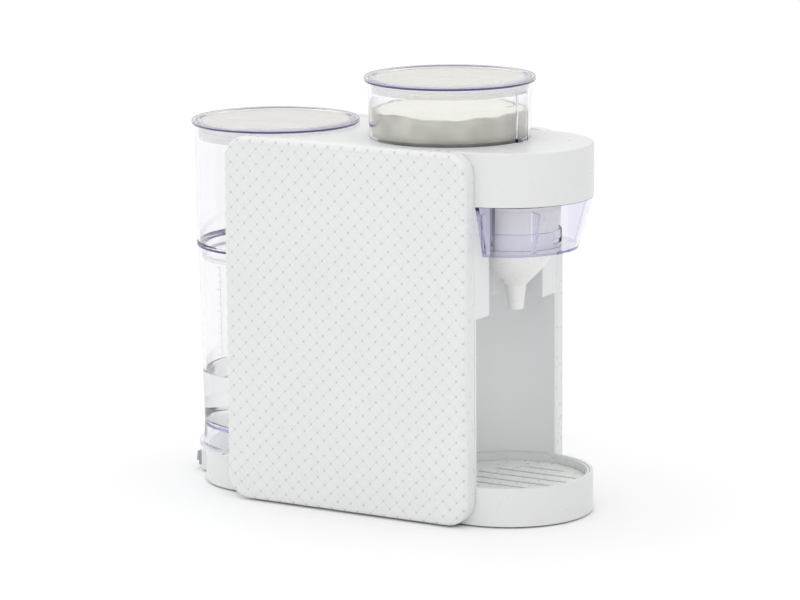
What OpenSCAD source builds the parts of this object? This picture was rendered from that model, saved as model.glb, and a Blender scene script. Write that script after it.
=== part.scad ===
// Formula dispenser: makes a bottle of infant formula from powder and warmed water.
// Frame: +Z up, the nose and the bottle bay face -Y, the water tank stands at +Y.
// The origin is under the middle of the machine, on the surface that its feet stand on.

/* [Body] */
// Overall length, from the front of the nose to the rear face of the power switch
length = 362; // [350:1:400]
// Width over the two side pods
body_w = 162; // [156:1:190]
// Height of the side pods
body_h = 296.5; // [285:0.5:340]
// Thickness of one side pod
pod_t = 14; // [12:0.5:18]
// Length of a side pod from front to rear
pod_len = 222; // [210:1:228]
// Distance from the front of the nose to the front edge of the pods
pod_setback = 60.5; // [56:0.5:66]
// Corner radius of a side pod
pod_corner_r = 19; // [12:1:30]
// Rounding of the outer edge of a side pod
pod_edge_r = 4.5; // [2:0.5:5]
// General wall thickness of the casings
wall = 2.4; // [1.8:0.1:3]
// Height of the rubber feet under the base
foot_h = 1.5; // [1:0.5:4]
// Height of the base that carries the tank
base_top = 30.4; // [26:0.2:36]
// Radius of the rear end of the base
base_r = 61; // [54:1:62]
// Depth of the power block behind the base
power_block_d = 10.5; // [8:0.5:16]
// Depth that the power switch stands out of the power block
switch_proud = 7; // [5:0.5:10]

/* [Head] */
// Height of the underside of the head
head_z = 254; // [244:1:260]
// Rounding of the top edge of the head
head_edge_r = 1.6; // [0.8:0.2:2]
// Thickness of the floor of the head
head_floor_t = 2.4; // [2:0.2:4]
// Height where the clear funnel cover ends
cover_z = 213; // [206:1:222]
// Radius of the funnel cover at its lower end
cover_low_r = 55; // [50:1:60]
// Wall thickness of the clear parts
clear_t = 2.2; // [1.6:0.2:3]
// Height of the ceiling of the bottle bay
bay_ceiling = 165; // [150:1:175]
// Half width of the recess that the funnel hangs in
recess_half_w = 43.5; // [42:0.5:48]
// Depth of that recess behind the front edge of the pods
recess_depth = 42; // [41:0.5:44]

/* [Funnel] */
// Height of the tip of the spout
spout_z = 163.2; // [158:0.2:168]
// Outer radius of the spout at its tip
spout_r = 5.9; // [5:0.1:7]
// Outer radius of the bowl where it leaves the cover
bowl_r = 30.9; // [26:0.1:32]
// Outer radius of the cup above the cover's floor
cup_r = 33.5; // [32.5:0.5:35]
// Height of the rim of the funnel
funnel_rim_z = 249; // [246:0.5:249]

/* [Powder] */
// Distance from the front of the nose to the middle of the powder container
container_setback = 120; // [116:0.5:124]
// Outer radius of the powder container at the deck
container_r = 63.9; // [58:0.1:64]
// Widening of the container from the deck to its mouth
container_flare = 1.3; // [0.8:0.1:2]
// Overall height, to the top of the powder lid
overall_h = 345; // [335:1:390]
// Outer radius of the powder lid
powder_lid_r = 68; // [66:0.5:70]
// Number of pockets in the dosing wheel
pockets = 10; // [8:1:12]

/* [Water tank] */
// Outer radius of the upper sleeve of the tank
sleeve_r = 65.5; // [60:0.1:65.6]
// Height of the joint between the two halves of the tank
joint_z = 197; // [170:1:220]
// Outer radius of the lower vessel at its mouth
vessel_r = 64.2; // [58:0.1:64.4]
// Taper of the lower vessel down to its floor
vessel_taper = 2.6; // [1:0.1:4]
// Height of the floor of the tank
tank_floor_z = 50.4; // [46:0.2:60]
// Outer radius of the tank lid
tank_lid_r = 68.5; // [67:0.5:70]

/* [Drip tray] */
// Height of the rim of the nose around the tray
nose_rim_z = 32; // [31.5:0.5:36]
// Height of the slotted deck that the bottle stands on
deck_z = 25; // [22:0.5:28]
// Distance between two slots
slot_pitch = 16; // [12:1:18]
// Width of a slot
slot_w = 3; // [2:0.5:4]

/* [Controls] */
// Length of the control bezel from front to rear
bezel_l = 66; // [60:1:80]
// Height of the control bezel
bezel_h = 132; // [120:1:150]
// Travel of a button
button_travel = 1; // [0.5:0.1:1.2]

/* [Hidden] */
$fn = 96;

gap = 0.2;              // assembly clearance between fixed mouldings
slide_gap = 0.5;        // clearance between pieces that slide past each other
run_gap = 0.05;         // radial clearance of a running fit
far = 400;              // longer than anything that it cuts

front_y = -length / 2;
rear_y = length / 2;
pod_in = body_w / 2 - pod_t;              // inner face of a pod
nose_r = pod_in - gap;                    // outer radius of the nose and half width of the core
nose_y = front_y + nose_r;
pod_y0 = front_y + pod_setback;
pod_y1 = pod_y0 + pod_len;
tank_y = rear_y - switch_proud - power_block_d - base_r;
container_y = front_y + container_setback;
spout_y = pod_y0 + gap;
deck_top = body_h - 0.3;                  // top face of the deck
bay_r = nose_r - wall + gap;              // inner radius of the bottle bay
pocket_r = nose_r - wall - gap;           // inner radius of the nose wall around the tray
tray_r = pocket_r - 0.4;
core_rear = tank_y - 22.5;                // rear end of the full-width part of the base
tank_pocket_r = sleeve_r + 1.1;           // inner radius of the tank's pocket
rear_wall_edge = tank_y - 15;             // where the tank's pocket wall ends
// middle of the space for the works, between the bottle bay and the tank's pocket
works_y = (nose_y + nose_r + tank_y - tank_pocket_r - wall) / 2;
base_deck_t = wall + gap;
base_cavity_top = base_top - base_deck_t;
tray_floor_z = foot_h + wall + 0.4;
tray_wall = 1.8;

module ring(r_out, r_in, z0, z1, y = 0, x = 0) {
    translate([x, y, z0])
        difference() {
            cylinder(h = z1 - z0, r = r_out);
            translate([0, 0, -1]) cylinder(h = z1 - z0 + 2, r = r_in);
        }
}

module disc(r, z0, z1, y = 0, x = 0) {
    translate([x, y, z0]) cylinder(h = z1 - z0, r = r);
}

// A box given by its two opposite corners
module block(low, high) {
    translate(low) cube(high - low);
}

// A rectangle with round corners, given by its two opposite corners
module rounded_rect(x0, y0, x1, y1, r) {
    translate([x0 + r, y0]) square([x1 - x0 - 2 * r, y1 - y0]);
    translate([x0, y0 + r]) square([x1 - x0, y1 - y0 - 2 * r]);
    for (x = [x0 + r, x1 - r], y = [y0 + r, y1 - r]) translate([x, y]) circle(r = r);
}

// The half space in front of the plane y
module ahead_of(y) { block([-far, y - far, -far], [far, y, far]); }

// The half space behind the plane y
module behind(y) { block([-far, y, -far], [far, y + far, far]); }

// Section of a plate of thickness t that ends w away, with its upper edge rounded
module soft_profile(w, t, r) {
    square([w - r, t]);
    square([w, t - r]);
    translate([w - r, t - r]) circle(r = r);
}

// A plate with round corners in plan and a rounded upper edge
module soft_plate(x0, y0, x1, y1, corner, t, r) {
    a0 = x0 + corner;
    a1 = x1 - corner;
    b0 = y0 + corner;
    b1 = y1 - corner;
    block([a0, b0, 0], [a1, b1, t]);
    for (q = [[a1, b1, 0], [a0, b1, 90], [a0, b0, 180], [a1, b0, 270]])
        translate([q[0], q[1], 0]) rotate([0, 0, q[2]]) rotate_extrude(angle = 90) soft_profile(corner, t, r);
    for (q = [[a1, b1, 0, b1 - b0], [a0, b1, 90, a1 - a0], [a0, b0, 180, b1 - b0], [a1, b0, 270, a1 - a0]])
        translate([q[0], q[1], 0]) rotate([0, 0, q[2]]) rotate([90, 0, 0])
            linear_extrude(height = q[3]) soft_profile(corner, t, r);
}

// A slab with a pod's side outline, from x0 outwards by t, on side +1 or -1
module pod_slab(side, x0, t, inset) {
    mirror([side < 0 ? 1 : 0, 0, 0])
        translate([x0, 0, 0]) rotate([90, 0, 90]) linear_extrude(height = t)
            rounded_rect(pod_y0 + inset, foot_h + inset, pod_y1 - inset, body_h - inset,
                         pod_corner_r - inset);
}

function arc_points(cx, cy, r, a0, a1, n) =
    [for (i = [0:n]) let (a = a0 + (a1 - a0) * i / n) [cx + r * cos(a), cy + r * sin(a)]];

// ---------------------------------------------------------------- base

module base_outline() {
    translate([0, nose_y]) circle(r = nose_r);
    translate([-nose_r, nose_y]) square([2 * nose_r, core_rear - nose_y]);
    translate([0, tank_y]) circle(r = base_r);
}

cavity_y0 = nose_y + nose_r + wall;       // front wall of the cavity under the deck
power_x0 = -13;                           // left and right ends of the power block
power_x1 = 38;
power_z1 = 18;
power_y1 = rear_y - switch_proud;
switch_x = -1;                            // middle of the power switch
switch_z = foot_h + 8.7;
inlet_x = 22;                             // middle of the mains inlet

module base_cavity(inset) {
    translate([-nose_r + wall + inset, cavity_y0 + inset])
        square([2 * (nose_r - wall - inset), core_rear - wall - cavity_y0 - 2 * inset]);
    translate([0, tank_y]) circle(r = base_r - wall - inset);
}

module base_tub() {
    color("whitesmoke")
        difference() {
            union() {
                translate([0, 0, foot_h]) linear_extrude(height = base_top - foot_h) base_outline();
                intersection() {
                    disc(nose_r, base_top - 1, nose_rim_z, nose_y);
                    ahead_of(pod_y0 - gap);
                }
                translate([0, 0, foot_h]) linear_extrude(height = power_z1 - foot_h)
                    rounded_rect(power_x0, tank_y, power_x1, power_y1, 5);
            }
            disc(pocket_r, foot_h + wall, far, nose_y);
            translate([0, 0, foot_h - 1]) linear_extrude(height = base_cavity_top - foot_h + 1)
                base_cavity(0);
            // the switch and the inlet reach through the rear wall of the power block
            block([switch_x - 8 - gap, tank_y + 40, switch_z - 6 - gap],
                  [switch_x + 8 + gap, far, switch_z + 6 + gap]);
            block([inlet_x - 10 - gap, tank_y + 40, switch_z - 6 - gap],
                  [inlet_x + 10 + gap, far, switch_z + 6 + gap]);
            // openings in the deck for the tank's socket and the pump's tube
            disc(socket_r + gap, base_cavity_top - 1, base_top + 1, tank_y);
            disc(tube_r + 1, base_cavity_top - 1, base_top + 1, pump_y, pump_x);
        }
    // bosses for the screws of the base plate
    color("whitesmoke")
        for (p = screw_points) ring(4.2, screw_r + run_gap, foot_h + 2.2, base_cavity_top + 0.5, p[1], p[0]);
}

module base_plate() {
    color("gainsboro")
        difference() {
            translate([0, 0, foot_h]) linear_extrude(height = 2) base_cavity(gap);
            for (p = screw_points) translate([p[0], p[1], 0]) cylinder(h = 10, r = screw_r + 0.1);
            // air slots under the heater
            for (i = [-3:3]) block([i * 9 - 1.5, -10, 0], [i * 9 + 1.5, 20, 10]);
        }
}

screw_r = 1.6;
screw_points = [
    for (x = [-1, 1]) [x * (nose_r - 9), cavity_y0 + 8],
    for (x = [-1, 1]) [x * (nose_r - 9), core_rear - 12],
    for (x = [-1, 1]) [x * 24, tank_y + base_r - 15]
];

module base_screws() {
    color("silver")
        for (p = screw_points) translate([p[0], p[1], foot_h - 1])
            difference() {
                union() {
                    translate([0, 0, -0.2]) cylinder(h = 1.2, r = 3);
                    cylinder(h = 12, r = screw_r);
                }
                translate([-2.2, -0.4, -1]) cube([4.4, 0.8, 1.4]);
                translate([-0.4, -2.2, -1]) cube([0.8, 4.4, 1.4]);
            }
}

foot_points = [
    for (x = [-1, 1]) [x * 40, nose_y - 18],
    for (x = [-1, 1]) [x * 48, tank_y - 30],
    [0, tank_y + 36]
];

module rubber_feet() {
    color("dimgray")
        for (p = foot_points) translate([p[0], p[1], 0]) cylinder(h = foot_h, r = 7);
}

// ---------------------------------------------------------------- core

recess_rear = pod_y0 + recess_depth;
recess_r = 16;                            // corner radius of the recess in plan
rail_z = head_z - 3.6;                    // top of the rails for the funnel cover
rail_l = 22;                              // how far back they reach

module recess_outline(grow) {
    rounded_rect(-recess_half_w - grow, pod_y0 - 40, recess_half_w + grow, recess_rear + grow,
                 recess_r + grow);
}

// Bottle bay below, funnel recess above, and the two cheeks beside the recess
module front_fascia() {
    color("white")
        intersection() {
            behind(pod_y0);
            difference() {
                union() {
                    ring(nose_r, bay_r, base_top, bay_ceiling + wall, nose_y);
                    disc(nose_r - 1, bay_ceiling, bay_ceiling + wall, nose_y);
                    translate([0, 0, bay_ceiling]) linear_extrude(height = head_z - gap - bay_ceiling)
                        recess_outline(wall);
                    for (side = [0, 1]) mirror([side, 0, 0])
                        block([recess_half_w + 1, pod_y0, bay_ceiling],
                              [nose_r, pod_y0 + wall, head_z - gap]);
                }
                difference() {
                    translate([0, 0, bay_ceiling - 1]) linear_extrude(height = head_z) recess_outline(0);
                    // rails that the funnel cover hangs on
                    for (side = [0, 1]) mirror([side, 0, 0])
                        block([tongue_half_w + slide_gap, pod_y0 + 4, rail_z - 1.8],
                              [far, pod_y0 + rail_l, rail_z]);
                }
                // notch for the pipe of the water nozzle
                block([nozzle_x - nozzle_pipe_r - gap, recess_rear - 20, nozzle_z - nozzle_pipe_r - gap],
                      [nozzle_x + nozzle_pipe_r + gap, recess_rear + 20, far]);
            }
        }
}

// Half width of the curved wall of the tank's pocket at its edge
pocket_edge_x = sqrt(pow(tank_pocket_r + wall, 2) - pow(tank_y - rear_wall_edge, 2));

// Wall between the works and the tank, hollowed to the tank's radius
module rear_fascia() {
    color("white")
        intersection() {
            ring(tank_pocket_r + wall, tank_pocket_r, base_top, body_h - 3.2, tank_y);
            block([-nose_r, -far, 0], [nose_r, rear_wall_edge, far]);
        }
    // a body wider than the pocket gets flat wings beside it
    if (nose_r > pocket_edge_x + 0.1) color("white") for (side = [0, 1]) mirror([side, 0, 0])
        block([pocket_edge_x - 2, rear_wall_edge - wall, base_top], [nose_r, rear_wall_edge, head_z - gap]);
    // a core that runs on behind the pods gets side walls
    if (pod_y1 - 14 < rear_wall_edge - 0.1) color("white") for (side = [0, 1]) mirror([side, 0, 0])
        block([nose_r - wall, pod_y1 - 14, base_top], [nose_r, rear_wall_edge, head_z - gap]);
}

// ---------------------------------------------------------------- head and deck

well_r = container_r - 1.1;               // the container's dosing base stands in this well
well_z = head_z + head_floor_t + 1.1;     // underside of the well's wall

module deck_outline(r) {
    translate([0, nose_y]) circle(r = r);
    translate([-r, nose_y]) square([2 * r, rear_wall_edge - nose_y]);
}

// Outside of the head: a half-round nose and a straight deck, with a rounded upper edge
module soft_head() {
    h = deck_top - head_z;
    translate([0, nose_y, head_z]) rotate([0, 0, 180]) rotate_extrude(angle = 180)
        soft_profile(nose_r, h, head_edge_r);
    for (side = [0, 1]) mirror([side, 0, 0])
        translate([0, rear_wall_edge, head_z]) rotate([90, 0, 0]) linear_extrude(height = rear_wall_edge - nose_y)
            soft_profile(nose_r, h, head_edge_r);
}

module top_cover() {
    color("white")
        difference() {
            soft_head();
            difference() {
                translate([0, 0, head_z - 1]) linear_extrude(height = deck_top - head_z + 1 - wall)
                    deck_outline(nose_r - wall - gap);
                disc(well_r + wall - 0.6, well_z, far, container_y);
            }
            disc(well_r, head_z - 1, far, container_y);
            disc(tank_pocket_r + wall + gap, head_z - 1, body_h - 3, tank_y);
            disc(tank_pocket_r + gap, head_z - 1, far, tank_y);
        }
}

chute_y = spout_y + 12;                   // the powder falls here, inside the funnel's mouth
chute_r = 9;
head_floor_rear = container_y + 50;
head_screw_points = [
    for (x = [-1, 1]) [x * 46, nose_y - 28],
    for (x = [-1, 1]) [x * 57, head_floor_rear - 9]
];

module head_floor() {
    color("white")
        difference() {
            intersection() {
                translate([0, 0, head_z]) linear_extrude(height = head_floor_t)
                    deck_outline(nose_r - wall - 2 * gap);
                ahead_of(head_floor_rear);
            }
            disc(chute_r + 1.4 + gap, 0, far, chute_y);
            disc(coupling_r + 1, 0, far, container_y);
            for (p = head_screw_points) translate([p[0], p[1], 0]) cylinder(h = far, r = 1.6);
        }
}

module head_screws() {
    color("silver")
        for (p = head_screw_points) translate([p[0], p[1], head_z + 0.2]) {
            cylinder(h = head_floor_t + 3, r = 1.5);
            translate([0, 0, head_floor_t]) cylinder(h = 1.8, r = 2.6);
        }
}

// ---------------------------------------------------------------- side pods

trim_t = 1;                               // thickness of the patterned trim panel
trim_inset = pod_edge_r + 0.3;            // plain edge around it
trim_gap = 0.05;                          // the panel is pressed in, with a hairline around it

// The window that the control bezel fills, in a pod's side plane
bezel_y = -16;
bezel_z = 172;

module bezel_window(grow, x0, x1) {
    translate([x0, 0, 0]) rotate([90, 0, 90]) linear_extrude(height = x1 - x0)
        rounded_rect(bezel_y - bezel_l / 2 - grow, bezel_z - bezel_h / 2 - grow,
                     bezel_y + bezel_l / 2 + grow, bezel_z + bezel_h / 2 + grow, 10 + grow);
}

module side_shell(side) {
    difference() {
        mirror([side < 0 ? 1 : 0, 0, 0]) translate([pod_in, 0, 0]) rotate([90, 0, 90])
            soft_plate(pod_y0, foot_h, pod_y1, body_h, pod_corner_r, pod_t, pod_edge_r);
        pod_slab(side, pod_in - 1, pod_t + 1 - wall - trim_t, wall);
        pod_slab(side, body_w / 2 - trim_t, trim_t + 1, trim_inset);
    }
}

module left_side_shell() { color("white") side_shell(-1); }

module right_side_shell() {
    color("white") difference() {
        side_shell(1);
        bezel_window(-3, 0, far);
    }
}

module liner(side) {
    difference() {
        pod_slab(side, pod_in + gap, 2, wall + gap);
        // wiring and screw holes, hidden between the pod and the core
        for (z = [60, 150, 240]) translate([side * body_w / 2, 10, z]) rotate([0, 90, 0])
            cylinder(h = 40, r = 3, center = true);
    }
}

module pod_liners() {
    color("gainsboro") {
        liner(-1);
        liner(1);
    }
}

module left_trim_panel() {
    color("lightgray") pod_slab(-1, body_w / 2 - trim_t, trim_t, trim_inset + trim_gap);
}

module right_trim_panel() {
    color("lightgray") difference() {
        pod_slab(1, body_w / 2 - trim_t, trim_t, trim_inset + trim_gap);
        bezel_window(gap, 0, far);
    }
}

// ---------------------------------------------------------------- drip tray

module drip_tray() {
    color("white")
        difference() {
            disc(tray_r, tray_floor_z, nose_rim_z - 0.4, nose_y);
            disc(tray_r - tray_wall, tray_floor_z + tray_wall, far, nose_y);
            // finger notches in the rim
            for (side = [-1, 1]) translate([side * tray_r, nose_y - 6, nose_rim_z]) rotate([0, 90, 0])
                cylinder(h = 10, r = 4, center = true);
        }
    // ledge that carries the grille
    color("white") ring(tray_r - tray_wall + 0.3, tray_r - tray_wall - 1.6, tray_floor_z + 1, deck_z - 2.4, nose_y);
}

bottle_y = spout_y - 4;                   // middle of the bottle's place
slot_field_r = 44;

module drip_grille() {
    color("white")
        difference() {
            disc(tray_r - tray_wall - slide_gap, deck_z - 2.2, deck_z, nose_y);
            intersection() {
                disc(slot_field_r, 0, far, bottle_y);
                for (i = [-2.5:1:2.5])
                    block([(i * slot_pitch - slot_w / 2), -far, 0], [(i * slot_pitch + slot_w / 2), far, far]);
            }
            // finger hole behind the bottle's place
            disc(8, 0, far, nose_y + 50);
        }
}

// ---------------------------------------------------------------- funnel and its cover

tongue_half_w = recess_half_w - 2.5;
tongue_rear = recess_rear - 1;
cover_top = head_z - 0.5;
cover_back = pod_y0 - 0.5;                // the cover's back wall clears the cheeks

module cover_cone(inset, z0, z1) {
    slope = (nose_r - 0.4 - cover_low_r) / (cover_top - cover_z);
    translate([0, nose_y, z0])
        cylinder(h = z1 - z0, r1 = cover_low_r - inset + slope * (z0 - cover_z),
                 r2 = cover_low_r - inset + slope * (z1 - cover_z));
}

// Plan of the part of the cover that reaches back into the recess
module tongue_outline(inset) {
    rounded_rect(-tongue_half_w + inset, cover_back - 32, tongue_half_w - inset, tongue_rear - inset,
                 recess_r - 2 - inset);
}

module funnel_cover() {
    color("lavender")
        difference() {
            union() {
                intersection() {
                    cover_cone(0, cover_z, cover_top);
                    ahead_of(cover_back);
                }
                intersection() {
                    translate([0, 0, cover_z]) linear_extrude(height = cover_top - cover_z) tongue_outline(0);
                    behind(cover_back - 10);
                }
                // lips that run on the rails
                for (side = [0, 1]) mirror([side, 0, 0])
                    block([tongue_half_w - 1, cover_back, rail_z + 0.3],
                          [recess_half_w - 0.4, pod_y0 + rail_l, rail_z + 2]);
            }
            difference() {
                union() {
                    intersection() {
                        cover_cone(clear_t, cover_z + clear_t, cover_top + 1);
                        ahead_of(cover_back - clear_t);
                    }
                    intersection() {
                        translate([0, 0, cover_z + clear_t]) linear_extrude(height = cover_top - cover_z)
                            tongue_outline(clear_t);
                        behind(cover_back - 12);
                    }
                }
                // stiffening ribs inside the wall
                for (a = rib_angles) translate([0, nose_y, 0]) rotate([0, 0, a])
                    block([-0.9, -far, 0], [0.9, -cover_low_r + 7, cover_top - 6]);
            }
            disc(bowl_r + 0.4, 0, far, spout_y);
            // low rear wall, so that the cover passes under the chute and the nozzle
            block([-nozzle_x - 5, cover_back + 20, funnel_rim_z + 0.3], [nozzle_x + 5, far, far]);
        }
}

rib_angles = [-81, -39, 39, 81];

bowl_z = cover_z + clear_t + gap;         // the cup's shoulder rests on the cover's floor
collar_in_r = cup_r + 0.6;
collar_out_r = collar_in_r + 2;
collar_h = 13;
lug_z = bowl_z + 3.6;                     // height of the funnel's bayonet lugs
lug_h = 2.6;
lug_w = 8;                                // degrees
twist = 20;                               // degrees from locked to free
lug_angles = [30, 150, 270];
slot_half_l = collar_out_r * sin(twist / 2 + lug_w / 2 + 1.4);
way_half_l = collar_out_r * sin(lug_w / 2 + 1.2);

module ring_sector(r0, r1, z0, z1, a0, a1) {
    translate([0, spout_y, z0]) rotate([0, 0, a0]) rotate_extrude(angle = a1 - a0)
        translate([r0, 0]) square([r1 - r0, z1 - z0]);
}

module funnel_collar() {
    color("lavender") difference() {
        ring(collar_out_r, collar_in_r, cover_z + clear_t, cover_z + clear_t + collar_h, spout_y);
        for (a = lug_angles) translate([0, spout_y, 0]) {
            // the slot that a lug turns in, and the way up and out at its free end
            rotate([0, 0, a + twist / 2])
                block([collar_in_r - 6, -slot_half_l, lug_z - 0.5],
                      [collar_out_r + 2, slot_half_l, lug_z + lug_h + 0.5]);
            rotate([0, 0, a + twist])
                block([collar_in_r - 6, -way_half_l, lug_z], [collar_out_r + 2, way_half_l, far]);
        }
    }
}

// Outline of the funnel's outer side, from the spout's tip up to the rim
spout_top_z = spout_z + 19.6;
spout_top_r = spout_r + 2.3;

// halfway between a cone and a bowl
function bowl_points(thin, n) = [
    for (i = [0:n]) let (t = i / n)
        [spout_top_r + (bowl_r - spout_top_r) * (sin(90 * t) + t) / 2 - thin,
         spout_top_z + (cover_z - 2 - spout_top_z) * t + thin * (1 - t) / 2]
];

module funnel() {
    t = 1.8;
    color("white") translate([0, spout_y, 0]) rotate_extrude()
        polygon(concat(
            [[spout_r - t, spout_z], [spout_r, spout_z]],
            bowl_points(0, 12),
            [[bowl_r, bowl_z], [cup_r, bowl_z], [cup_r, funnel_rim_z - 2], [cup_r + 3.5, funnel_rim_z - 2],
             [cup_r + 3.5, funnel_rim_z], [cup_r - t, funnel_rim_z], [cup_r - t, bowl_z + t],
             [bowl_r - t, bowl_z + t]],
            [for (i = [12:-1:0]) bowl_points(t, 12)[i]]
        ));
    // bayonet lugs that turn in the collar's slots
    color("white") for (a = lug_angles)
        ring_sector(cup_r - 0.8, collar_out_r - 0.3, lug_z, lug_z + lug_h, a - lug_w / 2, a + lug_w / 2);
}

module funnel_seal() {
    color("gainsboro") ring(cup_r + 2.6, cup_r + gap / 2, funnel_rim_z - 4.2, funnel_rim_z - 2, spout_y);
}

nozzle_x = 24;                            // the nozzle's pipe runs back beside the motor
nozzle_pipe_r = 2;
nozzle_z = funnel_rim_z + 0.6 + nozzle_pipe_r;
nozzle_ring_r = 20;

module water_nozzle() {
    color("white") difference() {
        union() {
            ring(nozzle_ring_r, chute_r + 2, nozzle_z - nozzle_pipe_r + gap, head_z - 0.1, chute_y);
            block([nozzle_ring_r - 6, chute_y - 3, nozzle_z - nozzle_pipe_r + gap],
                  [nozzle_x + 2, chute_y + 3, head_z - 0.1]);
            translate([nozzle_x, chute_y, nozzle_z]) rotate([-90, 0, 0])
                cylinder(h = recess_rear + 8 - chute_y, r = nozzle_pipe_r);
        }
        // outlet holes into the funnel
        for (a = [20:40:340]) translate([0, chute_y, 0]) rotate([0, 0, a])
            translate([nozzle_ring_r - 4.5, 0, 0]) cylinder(h = head_z - 1.5, r = 0.9);
        // bore of the pipe
        translate([nozzle_x, chute_y + 10, nozzle_z]) rotate([-90, 0, 0]) cylinder(h = 80, r = 1.2);
    }
}

module powder_chute() {
    color("gainsboro") {
        ring(chute_r + 1.4, chute_r, funnel_rim_z + 1.4, well_z - 0.8, chute_y);
        ring(chute_r + 3, chute_r, head_z + head_floor_t + 0.1, well_z - 0.2, chute_y);
    }
}

// ---------------------------------------------------------------- powder container

lid_rim_z = overall_h - 3.8;              // the lid's rim rests on the container's mouth
mouth_z = lid_rim_z - 0.2;
container_z = deck_top + 0.4;
container_in_r = container_r - clear_t;
mouth_in_r = container_r + container_flare - clear_t;
base_in_r = well_r - 0.4 - wall;          // inside of the dosing base
dosing_floor_z = well_z + 0.6;
spigot_r = base_in_r - gap;               // the container plugs into the dosing base
spigot_h = 9;
wheel_z = dosing_floor_z + wall + 0.4;
wheel_t = 11;
wheel_r = base_in_r - slide_gap;
hub_r = 12;
vane_t = 3;
pocket_pitch_r = container_y - chute_y;   // positive: the chute is in front of the axis
shaft_r = 4;
coupling_r = 8;
tongue_w = 2.4;                           // drive tongue under the wheel's shaft

module powder_container() {
    color("azure", 0.4)
        difference() {
            union() {
                translate([0, container_y, 0]) rotate_extrude()
                    polygon([[container_in_r, container_z], [container_r, container_z],
                             [container_r + container_flare, mouth_z], [mouth_in_r, mouth_z]]);
                ring(container_in_r + 0.6, spigot_r - clear_t, container_z, container_z + clear_t, container_y);
                ring(spigot_r, spigot_r - clear_t, container_z - spigot_h, container_z + 1, container_y);
                // upright grip rail on the front
                intersection() {
                    ring(container_r + 2.4, container_in_r + 1, container_z, mouth_z - 6, container_y);
                    block([-8, -far, 0], [8, container_y, far]);
                }
            }
        }
}

module dosing_base() {
    color("white")
        difference() {
            disc(well_r - 0.4, dosing_floor_z, container_z - gap, container_y);
            disc(base_in_r, dosing_floor_z + wall, far, container_y);
            disc(shaft_r + run_gap, 0, far, container_y);
            disc(chute_r - 1, 0, dosing_floor_z + wall + 1, chute_y);
        }
}

module powder_scraper() {
    color("white") intersection() {
        union() {
            block([-13, container_y - base_in_r - 5, wheel_z + wheel_t + 0.4],
                  [13, container_y - base_in_r + 25, wheel_z + wheel_t + 2]);
            ring(base_in_r - 0.1, base_in_r - 2.4, wheel_z + wheel_t + 0.4, container_z - spigot_h - 0.4,
                 container_y);
        }
        disc(base_in_r - 0.1, 0, far, container_y);
    }
}

module dosing_wheel() {
    color("gainsboro") {
        disc(hub_r, wheel_z, wheel_z + wheel_t, container_y);
        // vanes that close off one dose of powder between them
        for (i = [0:pockets - 1]) translate([0, container_y, 0]) rotate([0, 0, (i + 0.5) * 360 / pockets])
            block([-vane_t / 2, -wheel_r, wheel_z], [vane_t / 2, -hub_r + 1, wheel_z + wheel_t]);
        disc(shaft_r, dosing_floor_z - 2, wheel_z + 1, container_y);
        // drive tongue that stands in the coupling's slot
        block([-shaft_r + 0.6, container_y - tongue_w / 2, dosing_floor_z - 5],
              [shaft_r - 0.6, container_y + tongue_w / 2, dosing_floor_z - 1.5]);
        disc(6, wheel_z + wheel_t - 1, wheel_z + wheel_t + 6, container_y);
    }
}

module powder_agitator() {
    z0 = wheel_z + wheel_t + 6.1;
    color("white") {
        disc(8, z0, z0 + 7, container_y);
        for (a = [45, 165, 285]) translate([0, container_y, z0]) rotate([0, 0, a])
            block([5, -1.5, 0.5], [base_in_r - 14, 1.5, 6]);
    }
}

motor_r = 14;
motor_shaft_r = 3;
motor_top = head_z - 9;

module drive_coupling() {
    color("lightslategray")
        difference() {
            disc(coupling_r, motor_top + 1.5, dosing_floor_z - 1.9, container_y);
            disc(motor_shaft_r + run_gap, 0, dosing_floor_z - 7, container_y);
            block([-far, container_y - tongue_w / 2 - 0.3, dosing_floor_z - 5.6],
                  [far, container_y + tongue_w / 2 + 0.3, far]);
            disc(shaft_r + 0.4, dosing_floor_z - 2.3, far, container_y);
        }
}

module motor_shaft() {
    color("silver") disc(motor_shaft_r, motor_top - 12, dosing_floor_z - 7.3, container_y);
}

module gear_motor() {
    color("silver") {
        difference() {
            disc(motor_r, motor_top - 22, motor_top, container_y);
            disc(motor_shaft_r + run_gap, motor_top - 12.5, motor_top + 1, container_y);
            for (a = [45:90:315]) translate([0, container_y, 0]) rotate([0, 0, a])
                translate([10.5, 0, motor_top - 5]) cylinder(h = 6, r = 1.3);
        }
        disc(motor_r - 2, motor_top - 52, motor_top - 21.5, container_y);
        // terminals
        for (x = [-7, 7])
            block([x - 1.5, container_y - 0.4, motor_top - 58], [x + 1.5, container_y + 0.4, motor_top - 51]);
    }
}

module motor_bracket() {
    color("darkgray")
        difference() {
            union() {
                block([-34, container_y - motor_r, motor_top + 0.1],
                      [34, container_y + motor_r + 6, motor_top + 1.3]);
                for (x = [-30, 30])
                    block([x - 4, container_y - 8, motor_top + 0.2], [x + 4, container_y + 8, head_z - 0.1]);
            }
            disc(coupling_r + 1, 0, far, container_y);
            translate([nozzle_x, container_y - 60, nozzle_z]) rotate([-90, 0, 0]) cylinder(h = 120, r = 4.2);
        }
}

// A lid with a sunk middle and a skirt that plugs into the vessel below
module plug_lid(r, z_rim, z_top, skirt_r, skirt_z, y) {
    translate([0, y, 0]) rotate_extrude()
        polygon([[0, z_top - 3.2], [skirt_r - clear_t, z_top - 3.2], [skirt_r - clear_t, skirt_z],
                 [skirt_r, skirt_z], [skirt_r, z_rim], [r - 0.8, z_rim], [r, z_rim + 0.8],
                 [r, z_top - 0.8], [r - 0.8, z_top], [r - 6.5, z_top], [r - 9, z_top - 1.2], [0, z_top - 1.2]]);
}

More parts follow.
